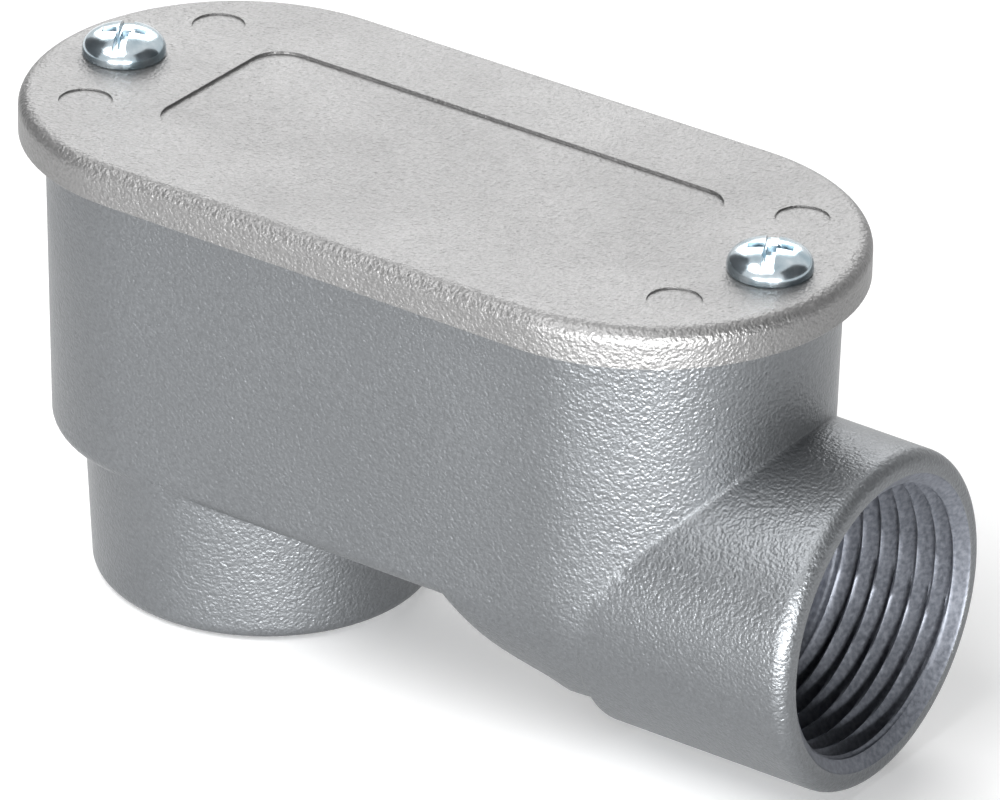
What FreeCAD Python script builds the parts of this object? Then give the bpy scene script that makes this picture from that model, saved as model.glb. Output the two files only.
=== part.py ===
import FreeCAD, Part
import math
import os
import Sketcher

# Conduit body with a side hub, a rear hub and a screwed cover, in millimetres.
# The frame: the origin is the centre of the rear hub's mouth, +Z points to the
# cover, and +X points out of the side hub.

Vec = FreeCAD.Vector

SIZES = [
    ("rear_set", 3.55, "centre of the casting's rear end, back from the rear hub's axis"),
    ("cover_top", 44.0, "face of the cover, above the rear hub's mouth"),
    ("cover_wall", 2.2, "thickness of the cover's skirt"),
    ("cover_short", 0.45, "cover's end centres, in from the casting's"),
    ("cover_deep", 3.4, "height of the cover's edge"),
    ("cover_plate", 2.0, "thickness of the cover's face"),
    ("cover_edge", 1.25, "rounding of the cover's upper edge"),
    ("rim_gap", 0.4, "clearance between the cover's skirt and the rim"),
    ("panel_long", 48.0, "length of the sunk panel in the cover"),
    ("panel_wide", 18.0, "width of the sunk panel"),
    ("panel_corner", 3.0, "corner radius of the sunk panel"),
    ("panel_deep", 0.25, "depth of the sunk panel"),
    ("mark_round", 2.3, "radius of an ejector mark"),
    ("mark_deep", 0.15, "depth of an ejector mark"),
    ("mark_in", 3.05, "ejector marks, in from the screws, along the cover"),
    ("mark_across", 9.3, "ejector marks, from the middle, across the cover"),
    ("gasket_thick", 0.9, "thickness of the gasket"),
    ("gasket_web", 3.3, "width of the gasket along the sides"),
    ("rim_round", 16.1, "outer end radius of the casting at its rim"),
    ("rim_span", 21.45, "half the distance between the casting's end centres"),
    ("wall", 2.2, "wall of the casting"),
    ("draft", 1.0, "draft of the outer walls, in degrees"),
    ("floor_under", 12.8, "underside of the flat floor"),
    ("floor_edge", 1.35, "rounding of the floor's lower edge"),
    ("side_height", 15.0, "height of the side hub's axis"),
    ("side_reach", 24.25, "mouth of the side hub, out from the casting's end centre"),
    ("root_step", 2.4, "loss of the side hub's radius where it leaves the slope"),
    ("root_long", 3.65, "length of the cone from there to the full radius"),
    ("side_round", 15.0, "outer radius of the side hub at its root"),
    ("rear_round", 15.0, "outer radius of the rear hub at its mouth"),
    ("rear_flare", 0.6, "growth of the rear hub's radius up to the floor"),
    ("side_taper", 0.1, "loss of the side hub's radius out to its mouth"),
    ("mouth_edge", 1.3, "rounding of a hub's outer mouth edge"),
    ("bore_round", 11.85, "radius of the hub bores at the thread's crest"),
    ("bore_deep", 13.0, "length of the side hub's threaded bore"),
    ("rear_deep", 12.6, "length of the rear hub's threaded bore"),
    ("throat_round", 10.4, "radius of the throat behind a bore"),
    ("throat_deep", 2.0, "length of the side hub's throat"),
    ("throat_lead", 0.5, "chamfer of a throat"),
    ("slope_long", 9.65, "length of the underside's slope, back from the end's centre"),
    ("slope_low_along", 7.15, "first shaping section, back from the end's centre"),
    ("slope_low_under", 8.3, "underside at the first shaping section"),
    ("slope_low_corner", 6.0, "lower corner radius at the first shaping section"),
    ("slope_mid_along", 3.35, "second shaping section, back from the end's centre"),
    ("slope_mid_under", 4.8, "underside at the second shaping section"),
    ("slope_mid_corner", 10.3, "lower corner radius at the second shaping section"),
    ("end_under", 2.2, "underside of the casting's end"),
    ("end_corner", 13.7, "lower corner radius of the casting's end"),
    ("screw_out", 11.8, "cover screws, out from the casting's end centres"),
    ("screw_round", 1.75, "radius of a screw's thread"),
    ("screw_long", 9.5, "length of a screw below its head"),
    ("screw_point", 0.4, "chamfer of a screw's end"),
    ("head_round", 3.6, "radius of a screw's head"),
    ("head_high", 2.2, "height of a screw's head"),
    ("head_edge", 1.6, "height and reach of the eased edge of a screw's head"),
    ("slot_wide", 1.1, "width of a screw's slot"),
    ("slot_deep", 1.0, "depth of a screw's slot"),
    ("cross_wide", 0.9, "width of the cross recess"),
    ("cross_reach", 1.9, "reach of the cross recess from the middle"),
    ("cross_deep", 1.6, "depth of the cross recess"),
    ("thread_gap", 0.05, "clearance of a screw in its boss"),
    ("hole_gap", 0.35, "clearance of a screw in the cover and the gasket"),
    ("boss_round", 3.6, "radius of a screw boss"),
    ("boss_long", 12.0, "length of a screw boss below the rim"),
    ("boss_cone", 3.0, "length of the cone under a screw boss"),
    ("hole_deep", 10.5, "depth of a screw hole below the rim"),
]


class Size:
    """A length, with the sheet formula that gives it."""

    def __init__(self, formula, value):
        self.formula = formula
        self.value = float(value)

    def __add__(self, other):
        return joined(self, "+", other, self.value + number(other))

    def __sub__(self, other):
        return joined(self, "-", other, self.value - number(other))

    def __mul__(self, other):
        return joined(self, "*", other, self.value * number(other))


def number(thing):
    return thing.value if isinstance(thing, Size) else float(thing)


def formula(thing):
    return thing.formula if isinstance(thing, Size) else "%.6f" % float(thing)


def joined(left, sign, right, value):
    return Size("(%s %s %s)" % (formula(left), sign, formula(right)), value)


def fill_sheet(doc):
    sheet = doc.addObject("Spreadsheet::Sheet", "Sizes")
    for row, (alias, value, note) in enumerate(SIZES, 1):
        sheet.set("A%d" % row, note)
        sheet.set("B%d" % row, str(value))
        sheet.setAlias("B%d" % row, alias)
    doc.recompute()
    return {alias: Size("Sizes." + alias, sheet.get(alias)) for alias, _, _ in SIZES}


doc = FreeCAD.newDocument("conduit_body")
size = fill_sheet(doc)
zero = Size("0", 0)


def bind(item, name, length):
    item.setExpression(name, formula(length))


def new_body(label):
    body = doc.addObject("PartDesign::Body", label)
    body.Label = label
    return body


def new_sketch(body, name, role, x=zero, y=zero, z=zero):
    """A sketch on one of the body's own planes, moved by x, y and z of that plane."""
    sketch = body.newObject("Sketcher::SketchObject", name)
    plane = [item for item in body.Origin.OriginFeatures if item.Role == role][0]
    sketch.AttachmentSupport = [(plane, "")]
    sketch.MapMode = "FlatFace"
    bind(sketch, "AttachmentOffset.Base.x", x)
    bind(sketch, "AttachmentOffset.Base.y", y)
    bind(sketch, "AttachmentOffset.Base.z", z)
    return sketch


def hold(sketch, name, kind, *rest):
    """A named dimension of a sketch, driven by the sheet."""
    length = rest[-1]
    index = sketch.addConstraint(Sketcher.Constraint(kind, *rest[:-1], number(length)))
    sketch.renameConstraint(index, name)
    bind(sketch, "Constraints." + name, length)


def draw_stadium(sketch, span, radius):
    """Two half circles, joined by two straight sides."""
    a, r = number(span), number(radius)
    half = 1.5707963267948966
    up = Vec(0, 0, 1)
    sketch.addGeometry([
        Part.LineSegment(Vec(-a, -r, 0), Vec(a, -r, 0)),
        Part.ArcOfCircle(Part.Circle(Vec(a, 0, 0), up, r), -half, half),
        Part.LineSegment(Vec(a, r, 0), Vec(-a, r, 0)),
        Part.ArcOfCircle(Part.Circle(Vec(-a, 0, 0), up, r), half, 3 * half),
    ], False)
    sketch.addConstraint([
        Sketcher.Constraint("Tangent", 0, 2, 1, 1),
        Sketcher.Constraint("Tangent", 1, 2, 2, 1),
        Sketcher.Constraint("Tangent", 2, 2, 3, 1),
        Sketcher.Constraint("Tangent", 3, 2, 0, 1),
        Sketcher.Constraint("Equal", 1, 3),
        Sketcher.Constraint("Symmetric", 1, 3, 3, 3, -1, 1),
        Sketcher.Constraint("PointOnObject", 1, 3, -1),
    ])
    hold(sketch, "between_centres", "DistanceX", 3, 3, 1, 3, span * 2)
    hold(sketch, "end_radius", "Radius", 1, radius)


def draw_circle(sketch, name, x, y, radius):
    """A circle whose centre has its place from the sketch's origin."""
    index = sketch.addGeometry(Part.Circle(Vec(number(x), number(y), 0), Vec(0, 0, 1),
                                           number(radius)), False)
    place_point(sketch, name, index, 3, x, y)
    hold(sketch, name + "_radius", "Radius", index, radius)


def place_point(sketch, name, index, spot, x, y):
    """Ties one point of a sketch to its two coordinates."""
    for axis, kind, value in ((-2, "DistanceX", x), (-1, "DistanceY", y)):
        label = name + ("_x" if axis == -2 else "_y")
        if number(value) == 0:
            sketch.addConstraint(Sketcher.Constraint("PointOnObject", index, spot, axis))
        elif number(value) > 0:
            hold(sketch, label, kind, -1, 1, index, spot, value)
        else:
            hold(sketch, label, kind, index, spot, -1, 1, zero - value)


def draw_profile(sketch, corners):
    """A closed outline of straight runs through the corners given as x and y."""
    ends = [Vec(number(x), number(y), 0) for x, y in corners]
    count = len(ends)
    for index in range(count):
        sketch.addGeometry(Part.LineSegment(ends[index], ends[(index + 1) % count]), False)
    for index in range(count):
        after = (index + 1) % count
        sketch.addConstraint(Sketcher.Constraint("Coincident", index, 2, after, 1))
    for index, (x, y) in enumerate(corners):
        place_point(sketch, "corner%d" % index, index, 1, x, y)


def pad(body, name, sketch, length, draft=None):
    """A pad that grows downwards from its sketch."""
    feature = body.newObject("PartDesign::Pad", name)
    feature.Profile = sketch
    feature.Reversed = True
    bind(feature, "Length", length)
    if draft is not None:
        bind(feature, "TaperAngle", draft)
    doc.recompute()
    return feature


def pocket(body, name, sketch, length, upwards=False):
    """A pocket that sinks below its sketch, or rises above it."""
    before = body.Shape.Volume
    feature = body.newObject("PartDesign::Pocket", name)
    feature.Profile = sketch
    feature.Reversed = upwards
    bind(feature, "Length", length)
    doc.recompute()
    if body.Shape.Volume >= before:
        raise ValueError(name + " cuts nothing")
    return feature


def turn(body, name, sketch, axis):
    """A full turn of a sketch about one of its own axes."""
    feature = body.newObject("PartDesign::Revolution", name)
    feature.Profile = sketch
    feature.ReferenceAxis = (sketch, [axis])
    feature.Angle = 360.0
    doc.recompute()
    return feature


def soften(body, name, radius, chosen):
    """A fillet of the edges for which chosen(edge) is true."""
    base = body.Tip
    names = ["Edge%d" % (i + 1) for i, edge in enumerate(base.Shape.Edges) if chosen(edge)]
    if not names:
        raise ValueError(name + " has no edge")
    feature = body.newObject("PartDesign::Fillet", name)
    feature.Base = (base, names)
    bind(feature, "Radius", radius)
    doc.recompute()
    return feature


def level(edge, height):
    """Whether an edge lies flat at a height."""
    box = edge.BoundBox
    return abs(box.ZMin - number(height)) < 1e-4 and abs(box.ZMax - number(height)) < 1e-4


def boolean(kind, label, base, tool):
    item = doc.addObject("Part::" + kind, label)
    item.Label = label
    item.Base = base
    item.Tool = tool
    doc.recompute()
    return item


def fuse(label, items):
    item = doc.addObject("Part::MultiFuse", label)
    item.Label = label
    item.Shapes = items
    item.Refine = True
    doc.recompute()
    return item


rim = size["cover_top"] - size["cover_plate"] - size["gasket_thick"]
rear_centre = zero - size["rear_set"]
middle = rear_centre + size["rim_span"]
end_centre = middle + size["rim_span"]
screw_span = size["rim_span"] + size["screw_out"]
side_mouth = end_centre + size["side_reach"]


# The casting and its cavity have the same make-up: a straight run with a small
# lower corner, a sloping run where the corner grows, and a turned half at each end.
lean = Size("tan(Sizes.draft * 1 deg)", math.tan(math.radians(size["draft"].value)))
stretch = Size("(1 / cos(Sizes.draft * 1 deg))", 1 / math.cos(math.radians(size["draft"].value)))


def corner_centre(half, deep, corner):
    """Centre of a lower corner, out from the middle and down from the rim."""
    across = half - corner * stretch + (deep - corner) * lean
    return across, deep - corner


def corner_arc(centre_x, centre_y, corner, start, end):
    circle = Part.Circle(Vec(number(centre_x), number(centre_y), 0), Vec(0, 0, 1), number(corner))
    return Part.ArcOfCircle(circle, start, end)


def draw_section(sketch, half, deep, corner):
    """A whole cross-section: drafted walls, round lower corners and a flat bottom."""
    tilt = math.radians(size["draft"].value)
    across, down = corner_centre(half, deep, corner)
    cx, cy, r, w, low = across.value, -down.value, corner.value, half.value, -deep.value
    touch = Vec(cx + r * math.cos(tilt), cy + r * math.sin(tilt), 0)
    sketch.addGeometry([
        Part.LineSegment(Vec(w, 0, 0), Vec(-w, 0, 0)),
        Part.LineSegment(Vec(-w, 0, 0), Vec(-touch.x, touch.y, 0)),
        corner_arc(-cx, cy, corner, math.pi - tilt, 1.5 * math.pi),
        Part.LineSegment(Vec(-cx, low, 0), Vec(cx, low, 0)),
        corner_arc(cx, cy, corner, -0.5 * math.pi, tilt),
        Part.LineSegment(touch, Vec(w, 0, 0)),
    ], False)
    sketch.addConstraint([
        Sketcher.Constraint("Coincident", 0, 2, 1, 1),
        Sketcher.Constraint("Tangent", 1, 2, 2, 1),
        Sketcher.Constraint("Tangent", 2, 2, 3, 1),
        Sketcher.Constraint("Tangent", 3, 2, 4, 1),
        Sketcher.Constraint("Tangent", 4, 2, 5, 1),
        Sketcher.Constraint("Coincident", 5, 2, 0, 1),
        Sketcher.Constraint("Symmetric", 0, 1, 0, 2, -2),
        Sketcher.Constraint("PointOnObject", 0, 1, -1),
        Sketcher.Constraint("Equal", 2, 4),
        Sketcher.Constraint("Symmetric", 2, 3, 4, 3, -2),
    ])
    hold(sketch, "half_width", "DistanceX", -1, 1, 0, 1, half)
    hold(sketch, "corner", "Radius", 4, corner)
    hold(sketch, "corner_out", "DistanceX", -1, 1, 4, 3, across)
    hold(sketch, "corner_down", "DistanceY", 4, 3, -1, 1, down)


def draw_half_section(sketch, half, deep, corner):
    """The same section from its middle line outwards, for a turned end."""
    tilt = math.radians(size["draft"].value)
    across, down = corner_centre(half, deep, corner)
    cx, cy, r, w, low = across.value, -down.value, corner.value, half.value, -deep.value
    touch = Vec(cx + r * math.cos(tilt), cy + r * math.sin(tilt), 0)
    sketch.addGeometry([
        Part.LineSegment(Vec(w, 0, 0), Vec(0, 0, 0)),
        Part.LineSegment(Vec(0, 0, 0), Vec(0, low, 0)),
        Part.LineSegment(Vec(0, low, 0), Vec(cx, low, 0)),
        corner_arc(cx, cy, corner, -0.5 * math.pi, tilt),
        Part.LineSegment(touch, Vec(w, 0, 0)),
    ], False)
    sketch.addConstraint([
        Sketcher.Constraint("Coincident", 0, 2, 1, 1),
        Sketcher.Constraint("Coincident", 1, 2, 2, 1),
        Sketcher.Constraint("Tangent", 2, 2, 3, 1),
        Sketcher.Constraint("Tangent", 3, 2, 4, 1),
        Sketcher.Constraint("Coincident", 4, 2, 0, 1),
        Sketcher.Constraint("Coincident", 0, 2, -1, 1),
        Sketcher.Constraint("PointOnObject", 0, 1, -1),
        Sketcher.Constraint("PointOnObject", 1, 2, -2),
        Sketcher.Constraint("Horizontal", 2),
    ])
    hold(sketch, "half_width", "DistanceX", -1, 1, 0, 1, half)
    hold(sketch, "corner", "Radius", 3, corner)
    hold(sketch, "corner_out", "DistanceX", -1, 1, 3, 3, across)
    hold(sketch, "corner_down", "DistanceY", 3, 3, -1, 1, down)


def hull(label, inset):
    """The outer form, or the same form set in by a wall for the cavity."""
    body = new_body(label)
    half = size["rim_round"] - inset
    shapes = [
        (size["slope_long"], size["floor_under"], size["floor_edge"]),
        (size["slope_low_along"], size["slope_low_under"], size["slope_low_corner"] - inset),
        (size["slope_mid_along"], size["slope_mid_under"], size["slope_mid_corner"] - inset),
        (zero, size["end_under"], size["end_corner"] - inset),
    ]
    sections = []
    for index, (back, under, corner) in enumerate(shapes):
        sketch = new_sketch(body, "%s_section%d" % (label, index), "YZ_Plane", y=rim, z=end_centre - back)
        draw_section(sketch, half, rim - under - inset, corner)
        sections.append(sketch)
    doc.recompute()
    run = body.newObject("PartDesign::Pad", label + "_straight")
    run.Profile = sections[0]
    run.Reversed = True
    bind(run, "Length", size["rim_span"] * 2 - size["slope_long"])
    doc.recompute()
    slope = body.newObject("PartDesign::AdditiveLoft", label + "_slope")
    slope.Profile = sections[0]
    slope.Sections = sections[1:]
    doc.recompute()
    for name, place, turned, row in (("_side_end", end_centre, 0, 3), ("_rear_end", rear_centre, 180, 0)):
        under, corner = shapes[row][1:]
        sketch = new_sketch(body, label + name + "_half", "XZ_Plane")
        sketch.AttachmentOffset = FreeCAD.Placement(Vec(), FreeCAD.Rotation(Vec(0, 1, 0), turned))
        bind(sketch, "AttachmentOffset.Base.x", place)
        bind(sketch, "AttachmentOffset.Base.y", rim)
        draw_half_section(sketch, half, rim - under - inset, corner)
        end = body.newObject("PartDesign::Revolution", label + name)
        end.Profile = sketch
        end.ReferenceAxis = (sketch, ["V_Axis"])
        end.Angle = 180.0
        end.Midplane = True
        doc.recompute()
    return body


# A hub is turned about its own axis, with a rounded outer edge at its mouth. The side
# hub's root is a short cone that carries the slope of the underside on into the hub.
def side_hub():
    body = new_body("side_hub_form")
    sketch = new_sketch(body, "side_hub_profile", "XZ_Plane", y=size["side_height"])
    inner = end_centre
    mouth = side_mouth
    draw_profile(sketch, [
        (inner, zero),
        (mouth, zero),
        (mouth, size["side_round"] - size["side_taper"]),
        (inner + size["root_long"], size["side_round"]),
        (inner, size["side_round"] - size["root_step"]),
    ])
    turn(body, "side_hub_turn", sketch, "H_Axis")
    soften(body, "side_hub_edge", size["mouth_edge"], lambda edge: around_x(edge, mouth))
    return body


def around_x(edge, along):
    box = edge.BoundBox
    return abs(box.XMin - number(along)) < 1e-4 and abs(box.XMax - number(along)) < 1e-4


def rear_hub():
    body = new_body("rear_hub_form")
    sketch = new_sketch(body, "rear_hub_profile", "XZ_Plane")
    top = size["floor_under"] + size["wall"] * 0.5
    draw_profile(sketch, [
        (zero, zero),
        (size["rear_round"], zero),
        (size["rear_round"] + size["rear_flare"], top),
        (zero, top),
    ])
    turn(body, "rear_hub_turn", sketch, "V_Axis")
    soften(body, "rear_hub_edge", size["mouth_edge"], lambda edge: level(edge, zero))
    return body


# Inside the casting, the side hub goes on as a plain sleeve for the whole bore.
sleeve_start = side_mouth - size["bore_deep"] - size["throat_deep"]


def side_sleeve():
    body = new_body("side_sleeve_form")
    sketch = new_sketch(body, "side_sleeve_profile", "XZ_Plane", y=size["side_height"])
    outer = size["side_round"] - size["side_taper"] * 2
    draw_profile(sketch, [
        (sleeve_start, zero),
        (side_mouth - size["mouth_edge"] * 2, zero),
        (side_mouth - size["mouth_edge"] * 2, outer),
        (sleeve_start, outer),
    ])
    turn(body, "side_sleeve_turn", sketch, "H_Axis")
    return body


# A bore has its threaded length at the crest radius, and a narrower throat with
# both of its ends chamfered.
def bore_profile(mouth, deep, throat, past):
    """Corners from the mouth inwards, as distance inwards and radius."""
    ease = size["throat_lead"]
    radius = size["bore_round"]
    narrow = size["throat_round"]
    end = deep + throat
    return [
        (zero - ease, zero),
        (zero - ease, radius),
        (deep, radius),
        (deep, narrow + ease),
        (deep + ease, narrow),
        (end - ease, narrow),
        (end + past, narrow + past + ease),
        (end + past, zero),
    ]


def side_bore():
    body = new_body("side_bore_form")
    sketch = new_sketch(body, "side_bore_profile", "XZ_Plane", y=size["side_height"])
    inwards = bore_profile(side_mouth, size["bore_deep"], size["throat_deep"], size["throat_lead"])
    draw_profile(sketch, [(side_mouth - along, radius) for along, radius in inwards])
    turn(body, "side_bore_turn", sketch, "H_Axis")
    return body


def rear_bore():
    body = new_body("rear_bore_form")
    sketch = new_sketch(body, "rear_bore_profile", "XZ_Plane")
    throat = size["floor_under"] + size["wall"] - size["rear_deep"]
    inwards = bore_profile(zero, size["rear_deep"], throat, size["throat_lead"])
    draw_profile(sketch, [(radius, along) for along, radius in inwards])
    turn(body, "rear_bore_turn", sketch, "V_Axis")
    return body


# A boss for a cover screw hangs from the rim inside each end, and ends in a cone.
def screw_place(side):
    return middle + screw_span * side


def screw_boss(label, side):
    body = new_body(label)
    sketch = new_sketch(body, label + "_profile", "XZ_Plane", x=screw_place(side), y=rim)
    draw_profile(sketch, [
        (zero, zero),
        (size["boss_round"], zero),
        (size["boss_round"], zero - size["boss_long"]),
        (size["boss_round"] * 0.3, zero - size["boss_long"] - size["boss_cone"]),
        (zero, zero - size["boss_long"] - size["boss_cone"]),
    ])
    turn(body, label + "_turn", sketch, "V_Axis")
    return body


def screw_hole(label, side):
    body = new_body(label)
    sketch = new_sketch(body, label + "_profile", "XZ_Plane", x=screw_place(side), y=rim)
    radius = size["screw_round"] + size["thread_gap"]
    draw_profile(sketch, [
        (zero, size["screw_point"]),
        (radius + size["screw_point"] * 2, size["screw_point"]),
        (radius, zero - size["screw_point"]),
        (radius, zero - size["hole_deep"]),
        (zero, zero - size["hole_deep"] - radius * 0.5),
    ])
    turn(body, label + "_turn", sketch, "V_Axis")
    return body


def casting():
    outer = fuse("outer_form", [hull("outer_hull", zero), side_hub(), rear_hub()])
    shell = boolean("Cut", "open_shell", outer, hull("inner_hull", size["wall"]))
    full = fuse("shell_with_bosses", [
        shell,
        side_sleeve(),
        screw_boss("rear_boss_form", -1),
        screw_boss("side_boss_form", 1),
    ])
    holes = fuse("holes_form", [
        side_bore(),
        rear_bore(),
        screw_hole("rear_screw_hole", -1),
        screw_hole("side_screw_hole", 1),
    ])
    return boolean("Cut", "whole_casting", full, holes)


# The casting is one piece. It is kept as four solids that meet on flat faces, at the
# inner ends of the threaded bores and where the slope starts, so that both bores and
# the middle stay open.
def block(label, low, high):
    """A box for parting the casting, from its low corner to its high corner."""
    item = doc.addObject("Part::Box", label)
    item.Label = label
    for axis, name, start, end in zip("xyz", ("Length", "Width", "Height"), low, high):
        bind(item, "Placement.Base." + axis, start)
        bind(item, name, end - start)
    doc.recompute()
    return item


def parted_casting():
    whole = casting()
    spare = size["wall"]
    rear = size["rear_round"] + size["rear_flare"] + spare
    half, low = size["rim_round"] + spare, size["side_height"] - size["side_round"] - spare
    slope_start, hub_start = end_centre - size["slope_long"], side_mouth - size["bore_deep"]
    rear_block = block("rear_block", (zero - rear, zero - rear, zero - spare),
                       (rear, rear, size["rear_deep"]))
    end_block = block("end_block", (slope_start, zero - half, low), (hub_start, half, rim + spare))
    hub_block = block("hub_block", (hub_start, zero - half, low), (side_mouth + spare, half, rim + spare))
    return [
        boolean("Cut", "body_casting", whole, fuse("all_blocks", [rear_block, end_block, hub_block])),
        boolean("Common", "side_casting", whole, end_block),
        boolean("Common", "rear_hub", whole, rear_block),
        boolean("Common", "side_hub", whole, hub_block),
    ]


# The cover is an oblong cap: its skirt goes round the gasket and the rim.
def cover():
    body = new_body("cover")
    top = size["cover_top"]
    outline = new_sketch(body, "cover_outline", "XY_Plane", x=middle, z=top)
    draw_stadium(outline, size["rim_span"] - size["cover_short"],
                 size["rim_round"] + size["rim_gap"] + size["cover_wall"])
    pad(body, "cover_plate_pad", outline, size["cover_deep"])
    soften(body, "cover_round_edge", size["cover_edge"], lambda edge: level(edge, top))
    under = top - size["cover_plate"]
    inside = new_sketch(body, "cover_inside", "XY_Plane", x=middle, z=top - size["cover_deep"])
    draw_stadium(inside, size["rim_span"], size["rim_round"] + size["rim_gap"])
    pocket(body, "cover_hollow", inside, size["cover_deep"] - size["cover_plate"], upwards=True)
    panel = new_sketch(body, "panel_outline", "XY_Plane", x=middle, z=top)
    draw_panel(panel)
    pocket(body, "panel_recess", panel, size["panel_deep"])
    marks = new_sketch(body, "ejector_marks", "XY_Plane", x=middle, z=top)
    for name, along, across in (("mark_a", 1, 1), ("mark_b", 1, -1), ("mark_c", -1, 1), ("mark_d", -1, -1)):
        place = (screw_span - size["mark_in"]) * along
        draw_circle(marks, name, place, size["mark_across"] * across, size["mark_round"])
    pocket(body, "ejector_recesses", marks, size["mark_deep"])
    holes = new_sketch(body, "cover_holes", "XY_Plane", x=middle, z=top)
    for name, side in (("side_hole", 1), ("rear_hole", -1)):
        draw_circle(holes, name, screw_span * side, zero, size["screw_round"] + size["hole_gap"])
    pocket(body, "cover_screw_holes", holes, size["cover_deep"])
    return body


def draw_panel(sketch):
    """A rectangle with rounded corners about the sketch's origin."""
    a, b, r = (number(size[name]) for name in ("panel_long", "panel_wide", "panel_corner"))
    a, b = a / 2, b / 2
    quarter = 1.5707963267948966
    up = Vec(0, 0, 1)
    corners = [(a - r, b - r, 0), (r - a, b - r, 1), (r - a, r - b, 2), (a - r, r - b, 3)]
    sides = [((a, r - b), (a, b - r)), ((a - r, b), (r - a, b)),
             ((-a, b - r), (-a, r - b)), ((r - a, -b), (a - r, -b))]
    for (x, y, part), (start, end) in zip(corners, sides):
        sketch.addGeometry(Part.LineSegment(Vec(*start, 0), Vec(*end, 0)), False)
        sketch.addGeometry(Part.ArcOfCircle(Part.Circle(Vec(x, y, 0), up, r), part * quarter,
                                            (part + 1) * quarter), False)
    for side in range(4):
        line, arc = side * 2, side * 2 + 1
        sketch.addConstraint(Sketcher.Constraint("Tangent", line, 2, arc, 1))
        sketch.addConstraint(Sketcher.Constraint("Tangent", arc, 2, (line + 2) % 8, 1))
    sketch.addConstraint([
        Sketcher.Constraint("Vertical", 0),
        Sketcher.Constraint("Horizontal", 2),
        Sketcher.Constraint("Equal", 1, 3),
        Sketcher.Constraint("Equal", 1, 5),
        Sketcher.Constraint("Equal", 1, 7),
        Sketcher.Constraint("Symmetric", 1, 3, 5, 3, -1, 1),
    ])
    hold(sketch, "corner_radius", "Radius", 1, size["panel_corner"])
    hold(sketch, "half_long", "DistanceX", -1, 1, 1, 3, size["panel_long"] * 0.5 - size["panel_corner"])
    hold(sketch, "half_wide", "DistanceY", -1, 1, 1, 3, size["panel_wide"] * 0.5 - size["panel_corner"])


# The gasket is cut flat: it covers the rim and the tops of both bosses.
def gasket():
    body = new_body("gasket")
    top = rim + size["gasket_thick"]
    outline = new_sketch(body, "gasket_outline", "XY_Plane", x=middle, z=top)
    draw_stadium(outline, size["rim_span"], size["rim_round"])
    pad(body, "gasket_pad", outline, size["gasket_thick"])
    inside = new_sketch(body, "gasket_inside", "XY_Plane", x=middle, z=top)
    opening = size["rim_round"] - size["gasket_web"]
    draw_stadium(inside, screw_span - size["boss_round"] - opening, opening)
    pocket(body, "gasket_opening", inside, size["gasket_thick"])
    holes = new_sketch(body, "gasket_holes", "XY_Plane", x=middle, z=top)
    for name, side in (("side_hole", 1), ("rear_hole", -1)):
        draw_circle(holes, name, screw_span * side, zero, size["screw_round"] + size["hole_gap"])
    pocket(body, "gasket_screw_holes", holes, size["gasket_thick"])
    return body


# A cover screw has a domed head, turned in three steps, with a slot and a cross recess.
def cover_screw(label, side):
    body = new_body(label)
    place = screw_place(side)
    profile = new_sketch(body, label + "_profile", "XZ_Plane", x=place, y=size["cover_top"])
    point, ease = size["screw_point"], size["head_edge"]
    draw_profile(profile, [
        (zero, zero - size["screw_long"]),
        (size["screw_round"] - point, zero - size["screw_long"]),
        (size["screw_round"], point - size["screw_long"]),
        (size["screw_round"], zero),
        (size["head_round"], zero),
        (size["head_round"], size["head_high"] - ease),
        (size["head_round"] - ease * 0.134, size["head_high"] - ease * 0.5),
        (size["head_round"] - ease * 0.5, size["head_high"] - ease * 0.134),
        (size["head_round"] - ease, size["head_high"]),
        (zero, size["head_high"]),
    ])
    turn(body, label + "_turn", profile, "V_Axis")
    crown = size["cover_top"] + size["head_high"]
    slot = new_sketch(body, label + "_slot", "XY_Plane", x=place, z=crown)
    draw_cut(slot, size["head_round"] * 2.2, size["slot_wide"])
    pocket(body, label + "_slot_cut", slot, size["slot_deep"])
    for name, swap in (("_cross_one", False), ("_cross_two", True)):
        arm = new_sketch(body, label + name, "XY_Plane", x=place, z=crown)
        long, wide = size["cross_reach"] * 2, size["cross_wide"]
        draw_cut(arm, *((wide, long) if swap else (long, wide)))
        pocket(body, label + name + "_cut", arm, size["cross_deep"])
    return body


def draw_cut(sketch, long, wide):
    """A rectangle about the sketch's origin."""
    a, b = number(long) / 2, number(wide) / 2
    ends = [Vec(-a, -b, 0), Vec(a, -b, 0), Vec(a, b, 0), Vec(-a, b, 0)]
    for index in range(4):
        sketch.addGeometry(Part.LineSegment(ends[index], ends[(index + 1) % 4]), False)
        sketch.addConstraint(Sketcher.Constraint("Horizontal" if index % 2 == 0 else "Vertical", index))
    for index in range(4):
        sketch.addConstraint(Sketcher.Constraint("Coincident", index, 2, (index + 1) % 4, 1))
    sketch.addConstraint(Sketcher.Constraint("Symmetric", 0, 1, 1, 2, -1, 1))
    hold(sketch, "long_side", "DistanceX", 0, 1, 0, 2, long)
    hold(sketch, "wide_side", "DistanceY", 1, 1, 1, 2, wide)


pieces = parted_casting() + [
    cover(),
    gasket(),
    cover_screw("screw_rear", -1),
    cover_screw("screw_side", 1),
]
doc.recompute()

for item in doc.Objects:
    if "Invalid" in item.State or "Error" in item.State:
        raise ValueError(item.Name + " failed: " + ", ".join(item.State))
os.makedirs("parts", exist_ok=True)
for piece in pieces:
    shape = piece.Shape
    if shape.isNull() or not shape.isValid() or len(shape.Solids) != 1:
        raise ValueError(piece.Label + " is not one valid solid")
for piece in pieces:
    piece.Shape.exportStep("parts/" + piece.Label + ".step")
    print(piece.Label, round(piece.Shape.Volume, 1))
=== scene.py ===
import math

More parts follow.
